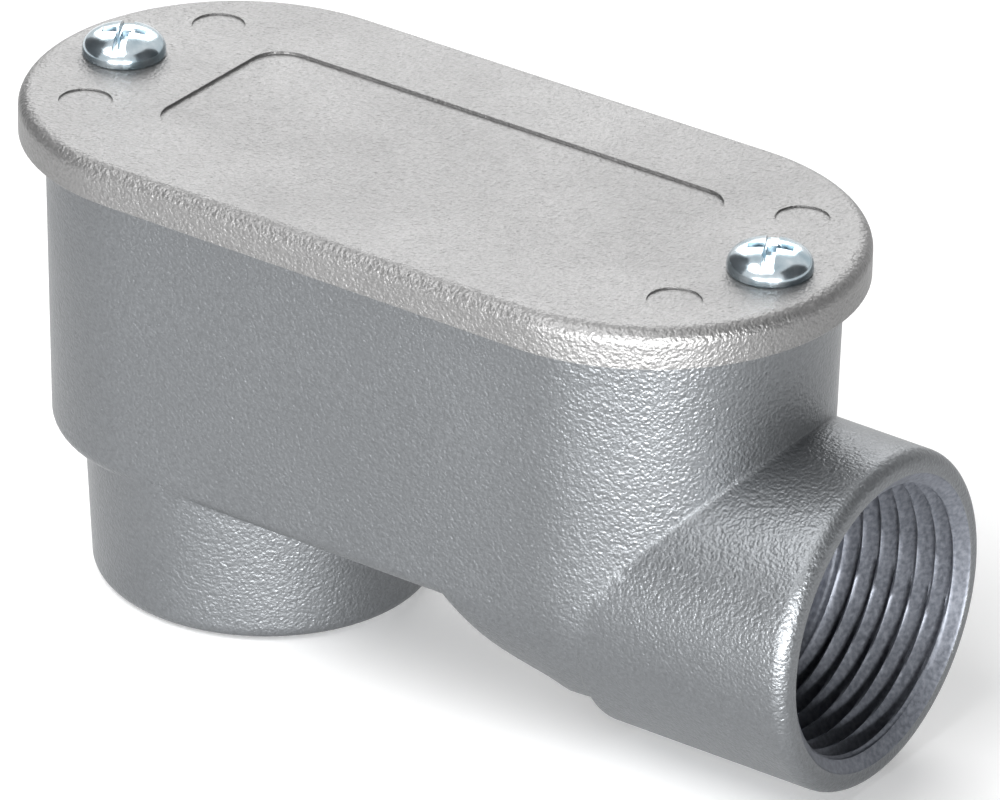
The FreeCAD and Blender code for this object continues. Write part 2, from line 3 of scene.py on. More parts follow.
import bpy
import bmesh
from mathutils import Matrix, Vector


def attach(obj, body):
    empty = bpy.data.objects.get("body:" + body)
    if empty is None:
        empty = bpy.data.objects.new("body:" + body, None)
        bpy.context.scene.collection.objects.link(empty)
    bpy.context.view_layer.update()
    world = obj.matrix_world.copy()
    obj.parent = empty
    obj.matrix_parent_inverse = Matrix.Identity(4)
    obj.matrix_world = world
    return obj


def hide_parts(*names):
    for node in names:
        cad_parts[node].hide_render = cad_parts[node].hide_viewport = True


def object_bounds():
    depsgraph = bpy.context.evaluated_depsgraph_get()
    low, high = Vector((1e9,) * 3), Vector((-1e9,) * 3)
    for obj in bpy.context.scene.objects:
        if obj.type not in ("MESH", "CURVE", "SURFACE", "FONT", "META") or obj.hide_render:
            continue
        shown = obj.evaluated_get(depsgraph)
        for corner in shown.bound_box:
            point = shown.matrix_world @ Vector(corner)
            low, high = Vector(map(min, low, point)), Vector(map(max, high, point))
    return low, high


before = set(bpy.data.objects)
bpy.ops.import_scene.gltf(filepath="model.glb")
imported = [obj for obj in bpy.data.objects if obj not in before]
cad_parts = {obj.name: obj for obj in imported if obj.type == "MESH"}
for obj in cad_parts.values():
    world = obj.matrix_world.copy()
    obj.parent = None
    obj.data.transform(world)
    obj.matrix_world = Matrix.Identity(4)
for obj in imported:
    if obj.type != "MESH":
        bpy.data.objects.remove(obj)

solid_box = [list(corner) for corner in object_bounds()]

# ---------------------------------------------------------------------------
# The camera looks down on the cover from the front, from the side hub's end.
# A long lens keeps the long edges of the cover nearly parallel.
camera = bpy.data.objects.new("camera", bpy.data.cameras.new("camera"))
bpy.context.scene.collection.objects.link(camera)
camera.data.sensor_width = 36.0
camera.data.lens = 328.68
camera.data.clip_start = 0.05
camera.data.clip_end = 20.0
camera.matrix_world = Matrix((
    (0.813216, -0.284845, 0.507487, 0.41431),
    (0.581710, 0.372223, -0.723231, -0.55553),
    (0.017111, 0.883353, 0.468395, 0.38308),
    (0.0, 0.0, 0.0, 1.0),
))
bpy.context.scene.camera = camera
bpy.context.scene.view_settings.view_transform = "Standard"


def new_material(name):
    """A material with an empty node tree, and its output node."""
    material = bpy.data.materials.new(name)
    material.use_nodes = True
    material.node_tree.nodes.clear()
    return material, material.node_tree.nodes.new("ShaderNodeOutputMaterial")


def any_seen_ray(tree):
    """One for camera, glossy and transmission rays, and zero for all others."""
    ray = tree.nodes.new("ShaderNodeLightPath")
    either = tree.nodes.new("ShaderNodeMath")
    either.operation = "MAXIMUM"
    tree.links.new(ray.outputs["Is Camera Ray"], either.inputs[0])
    tree.links.new(ray.outputs["Is Glossy Ray"], either.inputs[1])
    any_of_three = tree.nodes.new("ShaderNodeMath")
    any_of_three.operation = "MAXIMUM"
    tree.links.new(either.outputs[0], any_of_three.inputs[0])
    tree.links.new(ray.outputs["Is Transmission Ray"], any_of_three.inputs[1])
    return any_of_three.outputs[0]


# ---------------------------------------------------------------------------
# The table is one sheet of white paper, wide enough to reach past every view.
# It shows white to the camera and keeps the casting's soft shadow.
reach, under_part = 6.0, 0.00002
table_z = solid_box[0][2] - under_part
floor_mesh = bpy.data.meshes.new("table_paper")
floor_mesh.from_pydata(
    [(-reach, -reach, table_z), (reach, -reach, table_z), (reach, reach, table_z), (-reach, reach, table_z)],
    [], [(0, 1, 2, 3)])
floor = bpy.data.objects.new("table_paper", floor_mesh)
bpy.context.scene.collection.objects.link(floor)
paper, paper_out = new_material("white_paper")
tree = paper.node_tree
sheet = tree.nodes.new("ShaderNodeBsdfPrincipled")
sheet.inputs["Base Color"].default_value = (0.90, 0.90, 0.90, 1.0)
sheet.inputs["Roughness"].default_value = 0.9
glow = tree.nodes.new("ShaderNodeEmission")
glow.inputs["Color"].default_value = (1.0, 1.0, 1.0, 1.0)
level = tree.nodes.new("ShaderNodeMath")
level.operation = "MULTIPLY"
level.inputs[1].default_value = 0.20
tree.links.new(any_seen_ray(tree), level.inputs[0])
tree.links.new(level.outputs[0], glow.inputs["Strength"])
both = tree.nodes.new("ShaderNodeAddShader")
tree.links.new(sheet.outputs[0], both.inputs[0])
tree.links.new(glow.outputs[0], both.inputs[1])
tree.links.new(both.outputs[0], paper_out.inputs["Surface"])
floor_mesh.materials.append(paper)

# ---------------------------------------------------------------------------
# Soft studio light in a white room: a large softbox over the front, another behind
# for the cover, and two low strips in front that light the walls and the ends.
world = bpy.data.worlds.new("white_room")
bpy.context.scene.world = world
world.use_nodes = True
tree = world.node_tree
tree.nodes.clear()
room_out = tree.nodes.new("ShaderNodeOutputWorld")
seen = tree.nodes.new("ShaderNodeBackground")
seen.inputs["Color"].default_value = (1.0, 1.0, 1.0, 1.0)
seen.inputs["Strength"].default_value = 1.0
lit = tree.nodes.new("ShaderNodeBackground")
lit.inputs["Color"].default_value = (0.97, 0.985, 1.0, 1.0)
lit.inputs["Strength"].default_value = 0.08
pick = tree.nodes.new("ShaderNodeMixShader")
tree.links.new(any_seen_ray(tree), pick.inputs[0])
tree.links.new(lit.outputs[0], pick.inputs[1])
tree.links.new(seen.outputs[0], pick.inputs[2])
tree.links.new(pick.outputs[0], room_out.inputs["Surface"])


def softbox(name, place, size_x, size_y, power):
    """A rectangular lamp at a place in metres, turned to face the casting."""
    target = (0.02, 0.0, 0.025)
    lamp = bpy.data.lights.new(name, "AREA")
    lamp.shape = "RECTANGLE"
    lamp.size, lamp.size_y, lamp.energy = size_x, size_y, power
    lamp.color = (1.0, 1.0, 1.0)
    item = bpy.data.objects.new(name, lamp)
    bpy.context.scene.collection.objects.link(item)
    move = Matrix.Translation(place)
    from_target = move.to_translation() - Matrix.Translation(target).to_translation()
    item.matrix_world = move @ from_target.to_track_quat("Z", "Y").to_matrix().to_4x4()


softbox("over_softbox", (-0.16, -0.385, 0.76), size_x=0.6, size_y=0.6, power=6.6)
softbox("back_softbox", (-0.45, 0.66, 0.52), size_x=0.8, size_y=0.5, power=5.8)
softbox("front_strip", (0.145, -0.79, 0.045), size_x=0.28, size_y=0.08, power=6.2)
softbox("side_strip", (0.56, -0.59, 0.045), size_x=0.22, size_y=0.08, power=11.5)

# Two dark cards stand left and right of the table. Only reflections see them, and
# they give the bright metal its dark sides.
card_paint, card_out = new_material("card_black")
tree = card_paint.node_tree
shader = tree.nodes.new("ShaderNodeBsdfPrincipled")
shader.inputs["Base Color"].default_value = (0.05, 0.052, 0.055, 1.0)
shader.inputs["Roughness"].default_value = 0.9
tree.links.new(shader.outputs[0], card_out.inputs["Surface"])
part_x, card_away, card_half = 0.02, 0.5, 0.38
card_low, card_high = table_z + 0.02, 0.85
for name, bearing in (("card_left", 195.0), ("card_right", 17.0)):
    u = (math.cos(math.radians(bearing)), math.sin(math.radians(bearing)))
    card_mesh = bpy.data.meshes.new(name)
    card_mesh.from_pydata(
        [(part_x + card_away * u[0] - side * card_half * u[1],
          card_away * u[1] + side * card_half * u[0], height)
         for side, height in ((-1, card_low), (1, card_low), (1, card_high), (-1, card_high))],
        [], [(3, 2, 1, 0)])
    card_mesh.materials.append(card_paint)
    card = bpy.data.objects.new(name, card_mesh)
    bpy.context.scene.collection.objects.link(card)
    card.visible_camera = card.visible_diffuse = card.visible_shadow = False

# ---------------------------------------------------------------------------
# The casting: die-cast aluminium with a drafted oblong body, a sloping underside
# that runs into the side hub, and a rear hub under the floor. It comes from the
# die in one piece; the hubs' threads are tapped and their mouths are faced.
MM = 0.001
rim_z, wall, draft = 41.1, 2.2, math.tan(math.radians(1.0))
stretch = 1.0 / math.cos(math.radians(1.0))
half_width, rear_x, side_x = 16.1, -3.55, 39.35
hub_z, hub_mouth, hub_round = 15.0, 63.6, 15.0
floor_corner = 1.35
end_steps, straight_steps, slope_steps = 40, 18, 16
wall_steps, corner_steps, floor_steps = 15, 12, 4

# Sections of the underside's slope, each as (place, underside, lower corner radius).
slope = ((29.7, 12.8, 1.35), (32.2, 8.3, 6.0), (36.0, 4.8, 10.3), (39.35, 2.2, 13.7))


def through(points, x):
    """The smooth curve through four points, read at x."""
    total = 0.0
    for i, (xi, yi) in enumerate(points):
        term = yi
        for j, (xj, _) in enumerate(points):
            if j != i:
                term *= (x - xj) / (xi - xj)
        total += term
    return total


def half_section(x, inset):
    """The body's outline from the rim down to its middle line, as (out, height)."""
    if x <= slope[0][0]:
        under, corner = slope[0][1], slope[0][2]
    else:
        under = through([(s[0], s[1]) for s in slope], x)
        corner = through([(s[0], s[2]) for s in slope], x)
    if inset:
        corner = max(corner - inset, floor_corner) if x > slope[0][0] else floor_corner
    half, deep = half_width - inset, rim_z - under - inset
    across = half - corner * stretch + (deep - corner) * -draft
    middle = rim_z - deep + corner
    points = []
    tilt = math.radians(-1.0)
    top_y, top_z = across + corner * math.cos(tilt), middle + corner * math.sin(tilt)
    for step in range(wall_steps):
        part = step / wall_steps
        points.append((half + (top_y - half) * part, rim_z + (top_z - rim_z) * part))
    for step in range(corner_steps + 1):
        angle = tilt - (math.pi / 2 + tilt) * step / corner_steps
        points.append((across + corner * math.cos(angle), middle + corner * math.sin(angle)))
    for step in range(1, floor_steps):
        points.append((across * (1 - step / floor_steps), rim_z - deep))
    return points, rim_z - deep


def body_form(name, inset, lift):
    """A closed body: a turned rear end, a straight run, the slope and a turned end."""
    slope_x = slope[0][0]
    xs = [rear_x + (slope_x - rear_x) * i / straight_steps for i in range(1, straight_steps + 1)]
    xs += [slope_x + (side_x - slope_x) * i / slope_steps for i in range(1, slope_steps)]
    ring = [(rear_x, math.pi / 2 + math.pi * s / end_steps) for s in range(end_steps + 1)]
    ring += [(x, 1.5 * math.pi) for x in xs]
    ring += [(side_x, 1.5 * math.pi + math.pi * s / end_steps) for s in range(end_steps + 1)]
    ring += [(x, 0.5 * math.pi) for x in reversed(xs)]
    verts, faces, count = [], [], None
    for x, angle in ring:
        points, _ = half_section(x, inset)
        if lift:
            points = [(points[0][0], rim_z + lift)] + points
        count = len(points)
        for out, height in points:
            verts.append((x + out * math.cos(angle), out * math.sin(angle), height))
    total = len(ring)
    for i in range(total):
        j = (i + 1) % total
        for k in range(count - 1):
            faces.append((i * count + k, i * count + k + 1, j * count + k + 1, j * count + k))
    middles = {}
    for x, _ in ring:
        key = round(x, 4)
        if key not in middles:
            middles[key] = len(verts)
            verts.append((x, 0.0, half_section(x, inset)[1]))
    for i, (x, _) in enumerate(ring):
        j = (i + 1) % total
        a, b = middles[round(x, 4)], middles.get(round(ring[j][0], 4), len(verts))
        face = (i * count + count - 1, a, b, j * count + count - 1)
        faces.append(face if a != b else (face[0], a, face[3]))
    faces.append(tuple(i * count for i in range(total)))
    return solid(name, verts, faces)


def solid(name, verts, faces):
    """A closed mesh object from corners in millimetres, with its normals outwards."""
    mesh = bpy.data.meshes.new(name)
    mesh.from_pydata([(x * MM, y * MM, z * MM) for x, y, z in verts], [], faces)
    work = bmesh.new()
    work.from_mesh(mesh)
    bmesh.ops.remove_doubles(work, verts=work.verts, dist=1e-7)
    bmesh.ops.recalc_face_normals(work, faces=work.faces)
    work.to_mesh(mesh)
    work.free()
    item = bpy.data.objects.new(name, mesh)
    bpy.context.scene.collection.objects.link(item)
    return item


def turned(name, profile, place, count=160):
    """A closed turned form. The profile is (along, radius); place puts (along, y, z)."""
    verts, faces, rows = [], [], []
    for along, radius in profile:
        if radius == 0.0:
            rows.append([len(verts)] * count)
            verts.append(place(along, 0.0, 0.0))
        else:
            rows.append(list(range(len(verts), len(verts) + count)))
            for step in range(count):
                angle = 2 * math.pi * step / count
                verts.append(place(along, radius * math.cos(angle), radius * math.sin(angle)))
    for upper, lower in zip(rows, rows[1:]):
        for step in range(count):
            after = (step + 1) % count
            loop = [upper[step], upper[after], lower[after], lower[step]]
            loop = [v for n, v in enumerate(loop) if v != loop[n - 1]]
            faces.append(tuple(loop))
    return solid(name, verts, faces)


def arc(along, radius, size, start, end, steps=8):
    """Points of a quarter round on a turned profile."""
    return [(along + size * math.cos(math.radians(start + (end - start) * s / steps)),
             radius + size * math.sin(math.radians(start + (end - start) * s / steps)))
            for s in range(steps + 1)]


def on_x(along, y, z):
    """A place on the side hub's axis, from along, y and z."""
    return (along, y, hub_z + z)


def on_z(along, x, y):
    """A place on the rear hub's axis, from along, x and y."""
    return (x, y, along)


def on_screw(x):
    """Places on the axis of a cover screw at x."""
    return lambda along, u, v: (x + u, v, along)


def spaced(profile, step):
    """The same profile with its long runs divided."""
    result = [profile[0]]
    for (a, r), (b, s) in zip(profile, profile[1:]):
        parts = max(1, int(math.hypot(b - a, s - r) / step)) if r and s else 1
        result += [(a + (b - a) * n / parts, r + (s - r) * n / parts) for n in range(1, parts + 1)]
    return result


edge, run_step, mouth_taper = 1.3, 1.6, 0.1
root_back, root_inner, root_loss, root_cone = 3.0, 10.0, 2.4, 3.65
side_form = turned("side_hub_form", spaced(
    [(side_x - root_back, 0.0), (side_x - root_back, root_inner),
     (side_x, hub_round - root_loss), (side_x + root_cone, hub_round)]
    + arc(hub_mouth - edge, hub_round - mouth_taper - edge, edge, 90, 0)
    + [(hub_mouth, 0.0)], run_step), on_x)
rear_round, rear_top, rear_top_round = 15.0, 13.9, 15.65
rear_form = turned("rear_hub_form", spaced(
    [(0.0, 0.0)] + arc(edge, rear_round - edge, edge, 180, 90)
    + [(rear_top, rear_top_round), (rear_top, 0.0)], run_step), on_z)


def thread_tree(material):
    """Geometry Nodes for a threaded bore, with its mouth at zero and its depth upwards."""
    tree = bpy.data.node_groups.new("threaded_bore", "GeometryNodeTree")
    for name, kind, value in (
            ("Crest Radius", "NodeSocketFloat", 0.01185), ("Thread Depth", "NodeSocketFloat", 0.00135),
            ("Pitch", "NodeSocketFloat", 0.001814), ("Bore Length", "NodeSocketFloat", 0.013),
            ("Throat Radius", "NodeSocketFloat", 0.0104), ("Cutter Length", "NodeSocketFloat", 0.0155),
            ("Lead Width", "NodeSocketFloat", 0.0012), ("Lead Depth", "NodeSocketFloat", 0.0009),
            ("Around", "NodeSocketInt", 144), ("Rows", "NodeSocketInt", 128)):
        socket = tree.interface.new_socket(name, in_out="INPUT", socket_type=kind)
        socket.default_value = value
    tree.interface.new_socket("Geometry", in_out="OUTPUT", socket_type="NodeSocketGeometry")
    start, end = tree.nodes.new("NodeGroupInput"), tree.nodes.new("NodeGroupOutput")

    def maths(operation, *values):
        """One sum of numbers and sockets."""
        node = tree.nodes.new("ShaderNodeMath")
        node.operation = operation
        for slot, value in enumerate(values):
            if isinstance(value, (int, float)):
                node.inputs[slot].default_value = value
            else:
                tree.links.new(value, node.inputs[slot])
        return node.outputs[0]

    def ramp(value, low, high, first, last):
        """Runs from first to last while value runs from low to high."""
        node = tree.nodes.new("ShaderNodeMapRange")
        for slot, item in enumerate((value, low, high, first, last)):
            if isinstance(item, (int, float)):
                node.inputs[slot].default_value = item
            else:
                tree.links.new(item, node.inputs[slot])
        return node.outputs[0]

    crest, deep = start.outputs["Crest Radius"], start.outputs["Thread Depth"]
    pitch, bore = start.outputs["Pitch"], start.outputs["Bore Length"]
    throat = start.outputs["Throat Radius"]
    grid = tree.nodes.new("GeometryNodeMeshGrid")
    tree.links.new(start.outputs["Around"], grid.inputs["Vertices X"])
    tree.links.new(start.outputs["Rows"], grid.inputs["Vertices Y"])
    grid.inputs["Size X"].default_value = 1.0
    grid.inputs["Size Y"].default_value = 1.0
    place = tree.nodes.new("GeometryNodeInputPosition")
    apart = tree.nodes.new("ShaderNodeSeparateXYZ")
    tree.links.new(place.outputs[0], apart.inputs[0])
    around, row = maths("ADD", apart.outputs[0], 0.5), maths("ADD", apart.outputs[1], 0.5)
    lip, flank_low, flank_high = 0.0006, 0.06, 0.94
    first_from, first_to, last_from, last_to = 0.0007, 0.0016, 0.0018, 0.0004
    whole = maths("ADD", start.outputs["Cutter Length"], lip)
    depth = maths("SUBTRACT", maths("MULTIPLY", row, whole), lip)
    angle = maths("MULTIPLY", around, 2 * math.pi)
    turns = maths("SUBTRACT", maths("DIVIDE", depth, pitch), around)
    peak = maths("ABSOLUTE", maths("SUBTRACT", maths("MULTIPLY", maths("FRACT", turns), 2.0), 1.0))
    groove = ramp(peak, flank_low, flank_high, 0.0, 1.0)
    fade_in = ramp(depth, first_from, first_to, 0.0, 1.0)
    fade_out = ramp(depth, maths("SUBTRACT", bore, last_from), maths("SUBTRACT", bore, last_to), 1.0, 0.0)
    cut = maths("MULTIPLY", maths("MULTIPLY", groove, deep), maths("MULTIPLY", fade_in, fade_out))
    lead = ramp(depth, 0.0, start.outputs["Lead Depth"], start.outputs["Lead Width"], 0.0)
    wide = maths("ADD", crest, maths("MAXIMUM", cut, lead))
    inside = maths("GREATER_THAN", depth, bore)
    radius = maths("ADD", maths("MULTIPLY", wide, maths("SUBTRACT", 1.0, inside)),
                   maths("MULTIPLY", throat, inside))
    first_row, last_row = 0.0005, 0.9995
    capped = maths("MULTIPLY", maths("GREATER_THAN", row, first_row), maths("LESS_THAN", row, last_row))
    radius = maths("MULTIPLY", radius, capped)
    joined = tree.nodes.new("ShaderNodeCombineXYZ")
    tree.links.new(maths("MULTIPLY", radius, maths("COSINE", angle)), joined.inputs[0])
    tree.links.new(maths("MULTIPLY", radius, maths("SINE", angle)), joined.inputs[1])
    tree.links.new(depth, joined.inputs[2])
    move = tree.nodes.new("GeometryNodeSetPosition")
    tree.links.new(grid.outputs["Mesh"], move.inputs["Geometry"])
    tree.links.new(joined.outputs[0], move.inputs["Position"])
    weld = tree.nodes.new("GeometryNodeMergeByDistance")
    weld.inputs["Distance"].default_value = 0.000002
    tree.links.new(move.outputs[0], weld.inputs[0])
    real = tree.nodes.new("GeometryNodeRealizeInstances")
    tree.links.new(weld.outputs[0], real.inputs[0])
    paint = tree.nodes.new("GeometryNodeSetMaterial")
    paint.inputs["Material"].default_value = material
    tree.links.new(real.outputs[0], paint.inputs["Geometry"])
    tree.links.new(paint.outputs[0], end.inputs[0])
    return tree


def threaded_bore(name, tree, values, turn_to):
    """The closed form of one bore, as a plain mesh in its place."""
    holder = bpy.data.objects.new(name + "_holder", bpy.data.meshes.new(name + "_holder"))
    bpy.context.scene.collection.objects.link(holder)
    modifier = holder.modifiers.new("bore", "NODES")
    modifier.node_group = tree
    for item in tree.interface.items_tree:
        if item.in_out == "INPUT" and item.name in values:
            modifier[item.identifier] = values[item.name]
    seen_by = bpy.context.evaluated_depsgraph_get()
    mesh = bpy.data.meshes.new_from_object(holder.evaluated_get(seen_by))
    holder.modifiers.clear()
    bpy.data.objects.remove(holder)
    mesh.transform(turn_to)
    work = bmesh.new()
    work.from_mesh(mesh)
    bmesh.ops.recalc_face_normals(work, faces=work.faces)
    work.to_mesh(mesh)
    work.free()
    item = bpy.data.objects.new(name, mesh)
    bpy.context.scene.collection.objects.link(item)
    return item


def settle(item):
    """Turns an object's modifiers into its plain mesh."""
    seen_by = bpy.context.evaluated_depsgraph_get()
    mesh = bpy.data.meshes.new_from_object(item.evaluated_get(seen_by))
    item.modifiers.clear()
    item.data = mesh


def carve(base, tool, operation):
    """Joins a closed form to another, or cuts it away, and removes the tool."""
    modifier = base.modifiers.new("carve", "BOOLEAN")
    modifier.operation, modifier.solver, modifier.object = operation, "EXACT", tool
    settle(base)
    bpy.data.objects.remove(tool)


def skin_group():
    """The pebbled skin that the blasted die leaves: fine rounded grains of uneven height."""
    tree = bpy.data.node_groups.new("pebbled_skin", "ShaderNodeTree")
    for name, value in (("Grain Scale", 3300.0), ("Coarse Scale", 1850.0), ("Blotch Scale", 55.0)):
        tree.interface.new_socket(name, in_out="INPUT", socket_type="NodeSocketFloat").default_value = value
    for name in ("Height", "Speck", "Blotch"):
        tree.interface.new_socket(name, in_out="OUTPUT", socket_type="NodeSocketFloat")
    start, end = tree.nodes.new("NodeGroupInput"), tree.nodes.new("NodeGroupOutput")
    where = tree.nodes.new("ShaderNodeTexCoord")

    def noise(scale, detail, rough):
        """Noise of one scale, in the piece's own space."""
        node = tree.nodes.new("ShaderNodeTexNoise")
        node.inputs["Detail"].default_value = detail
        node.inputs["Roughness"].default_value = rough
        tree.links.new(where.outputs["Object"], node.inputs["Vector"])
        tree.links.new(scale, node.inputs["Scale"])
        return node.outputs["Fac"]

    cells = tree.nodes.new("ShaderNodeTexVoronoi")
    cells.feature = "F1"
    tree.links.new(where.outputs["Object"], cells.inputs["Vector"])
    tree.links.new(start.outputs["Grain Scale"], cells.inputs["Scale"])
    fine = noise(start.outputs["Grain Scale"], 2.0, 0.55)
    coarse = noise(start.outputs["Coarse Scale"], 1.0, 0.5)
    blotch = noise(start.outputs["Blotch Scale"], 3.0, 0.6)

    def mix(a, b, part):
        """The height a, with a part of b added."""
        node = tree.nodes.new("ShaderNodeMath")
        node.operation = "MULTIPLY_ADD"
        tree.links.new(b, node.inputs[0])
        node.inputs[1].default_value = part
        tree.links.new(a, node.inputs[2])
        return node.outputs[0]

    height = mix(mix(fine, coarse, 0.7), cells.outputs["Distance"], -0.45)
    tree.links.new(height, end.inputs["Height"])
    tree.links.new(fine, end.inputs["Speck"])
    tree.links.new(blotch, end.inputs["Blotch"])
    return tree


pebbled_skin = skin_group()


def cast_metal(name, color, roughness, pebble, bevel, rub_and_highlight):
    """Silver-enamelled cast aluminium with a pebbled skin, its colour lightened at every edge: rubbed wear
    on convex edges and a painted highlight that lifts the shade in creases and sunk steps.
    """
    material, out = new_material(name)
    tree = material.node_tree
    skin = tree.nodes.new("ShaderNodeGroup")
    skin.node_tree = pebbled_skin
    shader = tree.nodes.new("ShaderNodeBsdfPrincipled")
    shader.inputs["Metallic"].default_value = 0.85
    shader.inputs["IOR"].default_value = 1.5
    rounded = tree.nodes.new("ShaderNodeBevel")
    rounded.samples = 2
    rounded.inputs["Radius"].default_value = bevel
    bump = tree.nodes.new("ShaderNodeBump")
    bump.inputs["Strength"].default_value = 1.0
    bump.inputs["Distance"].default_value = pebble
    tree.links.new(skin.outputs["Height"], bump.inputs["Height"])
    tree.links.new(rounded.outputs[0], bump.inputs["Normal"])
    tree.links.new(bump.outputs[0], shader.inputs["Normal"])
    tone = tree.nodes.new("ShaderNodeValToRGB")
    tone.color_ramp.elements[0].position, tone.color_ramp.elements[1].position = 0.32, 0.7
    tone.color_ramp.elements[0].color = tuple(0.90 * c for c in color) + (1.0,)
    tone.color_ramp.elements[1].color = tuple(min(1.0, 1.10 * c) for c in color) + (1.0,)
    tree.links.new(skin.outputs["Speck"], tone.inputs["Fac"])
    spread = tree.nodes.new("ShaderNodeMapRange")
    spread.inputs["From Min"].default_value, spread.inputs["From Max"].default_value = 0.3, 0.7
    spread.inputs["To Min"].default_value = roughness - 0.04
    spread.inputs["To Max"].default_value = roughness + 0.05
    tree.links.new(skin.outputs["Blotch"], spread.inputs["Value"])
    flat = tree.nodes.new("ShaderNodeNewGeometry")
    facing = tree.nodes.new("ShaderNodeVectorMath")
    facing.operation = "DOT_PRODUCT"
    tree.links.new(flat.outputs["Normal"], facing.inputs[0])
    tree.links.new(rounded.outputs[0], facing.inputs[1])
    # Painted highlight and wear: this mask finds convex and concave edges alike, and the colour is lightened
    # there, on worn edges and in shaded creases and steps.
    edges = tree.nodes.new("ShaderNodeMapRange")
    edges.inputs["From Min"].default_value, edges.inputs["From Max"].default_value = 0.985, 0.80
    tree.links.new(facing.outputs["Value"], edges.inputs["Value"])
    brighter = tree.nodes.new("ShaderNodeMix")
    brighter.data_type = "RGBA"
    tree.links.new(edges.outputs[0], brighter.inputs[0])
    tree.links.new(tone.outputs[0], brighter.inputs[6])
    brighter.inputs[7].default_value = tuple(min(1.0, rub_and_highlight * c) for c in color) + (1.0,)
    tree.links.new(brighter.outputs[2], shader.inputs["Base Color"])
    tree.links.new(spread.outputs[0], shader.inputs["Roughness"])
    tree.links.new(shader.outputs[0], out.inputs["Surface"])
    return material


# The casting's colour is set darker than the cover's, which wears the same enamel: painted shade for its
# walls.
casting_skin = cast_metal("casting_skin", (0.148, 0.155, 0.162), roughness=0.40,
                          pebble=0.00007, bevel=0.0006, rub_and_highlight=1.35)


def mottled(name, metallic, scale, detail, ends, dark, light, rough, bump_height):
    """A material whose colour, roughness and fine bumps follow one noise."""
    material, out = new_material(name)
    tree = material.node_tree
    shader = tree.nodes.new("ShaderNodeBsdfPrincipled")
    shader.inputs["Metallic"].default_value = metallic
    where = tree.nodes.new("ShaderNodeTexCoord")
    grit = tree.nodes.new("ShaderNodeTexNoise")
    grit.inputs["Scale"].default_value = scale
    grit.inputs["Detail"].default_value = detail
    tree.links.new(where.outputs["Object"], grit.inputs["Vector"])
    tint = tree.nodes.new("ShaderNodeValToRGB")
    for stop, position, color in zip(tint.color_ramp.elements, ends, (dark, light)):
        stop.position, stop.color = position, color + (1.0,)
    tree.links.new(grit.outputs["Fac"], tint.inputs["Fac"])
    tree.links.new(tint.outputs[0], shader.inputs["Base Color"])
    spread = tree.nodes.new("ShaderNodeMapRange")
    spread.inputs["To Min"].default_value, spread.inputs["To Max"].default_value = rough
    tree.links.new(grit.outputs["Fac"], spread.inputs["Value"])
    tree.links.new(spread.outputs[0], shader.inputs["Roughness"])
    bump = tree.nodes.new("ShaderNodeBump")
    bump.inputs["Distance"].default_value = bump_height
    tree.links.new(grit.outputs["Fac"], bump.inputs["Height"])
    tree.links.new(bump.outputs[0], shader.inputs["Normal"])
    tree.links.new(shader.outputs[0], out.inputs["Surface"])
    return material


# The tapped thread is bare metal, greyer and smoother than the skin.
tapped = mottled("tapped_metal", metallic=0.75, scale=2600.0, detail=3.0, ends=(0.35, 0.7),
                 dark=(0.105, 0.113, 0.132), light=(0.175, 0.185, 0.21),
                 rough=(0.42, 0.6), bump_height=0.00002)

bore_tree = thread_tree(tapped)
casting = body_form("casting", 0.0, 0.0)
carve(casting, side_form, "UNION")
carve(casting, rear_form, "UNION")
carve(casting, body_form("cavity_form", wall, 1.0), "DIFFERENCE")
sleeve_start, sleeve_end, sleeve_round = 48.6, 61.0, 14.8
sleeve = turned("sleeve_form", [(sleeve_start, 0.0), (sleeve_start, sleeve_round),
                                (sleeve_end, sleeve_round), (sleeve_end, 0.0)], on_x)
carve(casting, sleeve, "UNION")
rear_screw_x, side_screw_x = -15.35, 51.15
boss_low, boss_tip, cone_top, boss_round = 26.1, 1.1, 29.1, 3.6
hole_low, hole_cone_top, hole_round, above_rim = 30.0, 30.6, 1.8, rim_z + 0.5
for name, x in (("rear_boss", rear_screw_x), ("side_boss", side_screw_x)):
    boss = turned(name, [(boss_low, 0.0), (boss_low, boss_tip), (cone_top, boss_round),
                         (rim_z, boss_round), (rim_z, 0.0)], on_screw(x), 64)
    carve(casting, boss, "UNION")
    hole = turned(name + "_hole", [(hole_low, 0.0), (hole_cone_top, hole_round),
                                   (above_rim, hole_round), (above_rim, 0.0)], on_screw(x), 48)
    carve(casting, hole, "DIFFERENCE")
casting.data.materials.clear()
casting.data.materials.append(casting_skin)
casting.data.materials.append(tapped)
for face in casting.data.polygons:
    face.material_index = 0
to_side = Matrix(((0, 0, -1, hub_mouth * MM), (1, 0, 0, 0), (0, -1, 0, hub_z * MM), (0, 0, 0, 1)))
to_rear = Matrix.Identity(4)
for name, values, turn_to in (
        ("side_bore", {"Bore Length": 0.013, "Cutter Length": 0.0158}, to_side),
        ("rear_bore", {"Bore Length": 0.0126, "Cutter Length": 0.0160}, to_rear)):
    bore = threaded_bore(name, bore_tree, values, turn_to)
    carve(casting, bore, "DIFFERENCE")

tapped_reach, faced_skin = 13.6, 0.01
side_tap_start, rear_tap_end = 48.4, 15.3
for face in casting.data.polygons:
    x, y, z = (c / MM for c in face.center)
    in_side = side_tap_start < x < hub_mouth - faced_skin and math.hypot(y, z - hub_z) < tapped_reach
    in_rear = faced_skin < z < rear_tap_end and math.hypot(x, y) < tapped_reach
    face.material_index = 1 if in_side or in_rear else 0
casting.data.shade_smooth()
casting.data.set_sharp_from_angle(angle=math.radians(32.0))
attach(casting, "casting")
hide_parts("body_casting", "side_casting", "rear_hub", "side_hub")

# ---------------------------------------------------------------------------
# The gasket: a flat sheet of black rubber, die-cut to the rim, which the cover's
# screws press down. The cover's skirt hides it until the cover is lifted.
rubber = mottled("gasket_rubber", metallic=0.0, scale=1800.0, detail=4.0, ends=(0.0, 1.0),
                 dark=(0.018, 0.018, 0.018), light=(0.05, 0.05, 0.05),
                 rough=(0.6, 0.85), bump_height=0.00003)
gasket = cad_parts["gasket"]
for slot in gasket.material_slots:
    slot.material = rubber
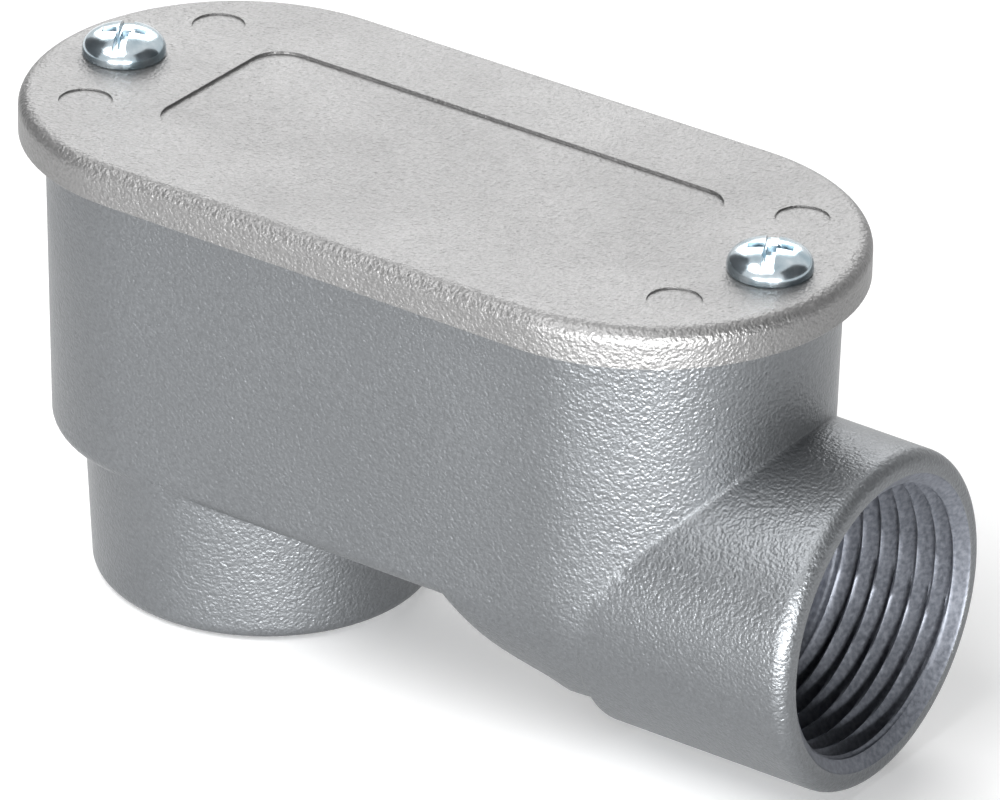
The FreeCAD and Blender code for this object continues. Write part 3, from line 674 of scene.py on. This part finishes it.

# ---------------------------------------------------------------------------
# The cover: a flat oblong die casting with a skirt, a sunk panel for its marking,
# which stays bare, and the four marks that the die's ejector pins leave.
# The cover wears the casting's enamel, but its colour is set lighter than the casting's: painted light for
# its brightly lit top.
cover_skin = cast_metal("cover_skin", (0.200, 0.199, 0.198), roughness=0.47,
                        pebble=0.00009, bevel=0.00016, rub_and_highlight=1.6)
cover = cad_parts["cover"]
for slot in cover.material_slots:
    slot.material = cover_skin

# ---------------------------------------------------------------------------
# The cover screws: zinc-plated steel with a domed head, a slot right across and a
# cross recess, turned and rolled.
zinc = mottled("bright_zinc", metallic=1.0, scale=500.0, detail=3.0, ends=(0.3, 0.7),
               dark=(0.30, 0.39, 0.44), light=(0.58, 0.64, 0.68),
               rough=(0.10, 0.26), bump_height=0.00001)

seat, head_round, head_high = 44.0, 3.6, 2.2
point_z, point_round, shank_z, shank_round = 34.5, 1.35, 34.9, 1.75
head_ease, head_band, dome_steps = 0.12, 0.4, 15
dome_rise, dome_reach = 0.9, 0.8
slot_long, slot_wide, slot_deep = 9.0, 1.1, 1.0
cross_long, cross_wide, cross_deep, over_head = 3.8, 0.9, 1.6, 1.0
screw_turn = math.radians(-62.0)


def cutter_box(name, x, size_x, size_y, low, high, turn):
    """A long block about a screw's axis, turned about it."""
    c, s = math.cos(turn), math.sin(turn)
    verts = []
    for z in (low, high):
        for u, v in ((-1, -1), (1, -1), (1, 1), (-1, 1)):
            a, b = u * size_x / 2, v * size_y / 2
            verts.append((x + a * c - b * s, a * s + b * c, z))
    faces = [(0, 3, 2, 1), (4, 5, 6, 7), (0, 1, 5, 4), (1, 2, 6, 5), (2, 3, 7, 6), (3, 0, 4, 7)]
    return solid(name, verts, faces)


def screw(name, node, body, x, turn):
    """One cover screw on its own body, at x, with its slot turned."""
    profile = [(point_z, 0.0), (point_z, point_round), (shank_z, shank_round), (seat, shank_round),
               (seat, head_round - head_ease), (seat + head_ease, head_round),
               (seat + head_band, head_round)]
    for step in range(1, dome_steps):
        angle = math.radians(90.0 * step / dome_steps)
        profile.append((seat + head_band + (head_high - head_band) * math.sin(angle) ** dome_rise,
                        head_round * math.cos(angle) ** dome_reach))
    profile.append((seat + head_high, 0.0))
    piece = turned(name, profile, on_screw(x), 96)
    top = seat + head_high
    for suffix, size_x, size_y, deep in (
            ("_slot", slot_long, slot_wide, slot_deep),
            ("_cross_a", cross_long, cross_wide, cross_deep),
            ("_cross_b", cross_wide, cross_long, cross_deep)):
        tool = cutter_box(name + suffix, x, size_x, size_y, top - deep, top + over_head, turn)
        carve(piece, tool, "DIFFERENCE")
    bevel = piece.modifiers.new("soft_edges", "BEVEL")
    bevel.width, bevel.segments, bevel.limit_method = 0.00006, 2, "ANGLE"
    bevel.angle_limit = math.radians(40.0)
    settle(piece)
    mesh = piece.data
    mesh.materials.clear()
    mesh.materials.append(zinc)
    for face in mesh.polygons:
        face.material_index = 0
    mesh.shade_smooth()
    mesh.set_sharp_from_angle(angle=math.radians(35.0))
    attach(piece, body)
    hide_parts(node)


screw("rear_screw_piece", "screw_rear", "rear_screw", rear_screw_x, screw_turn)
screw("side_screw_piece", "screw_side", "side_screw", side_screw_x, screw_turn)
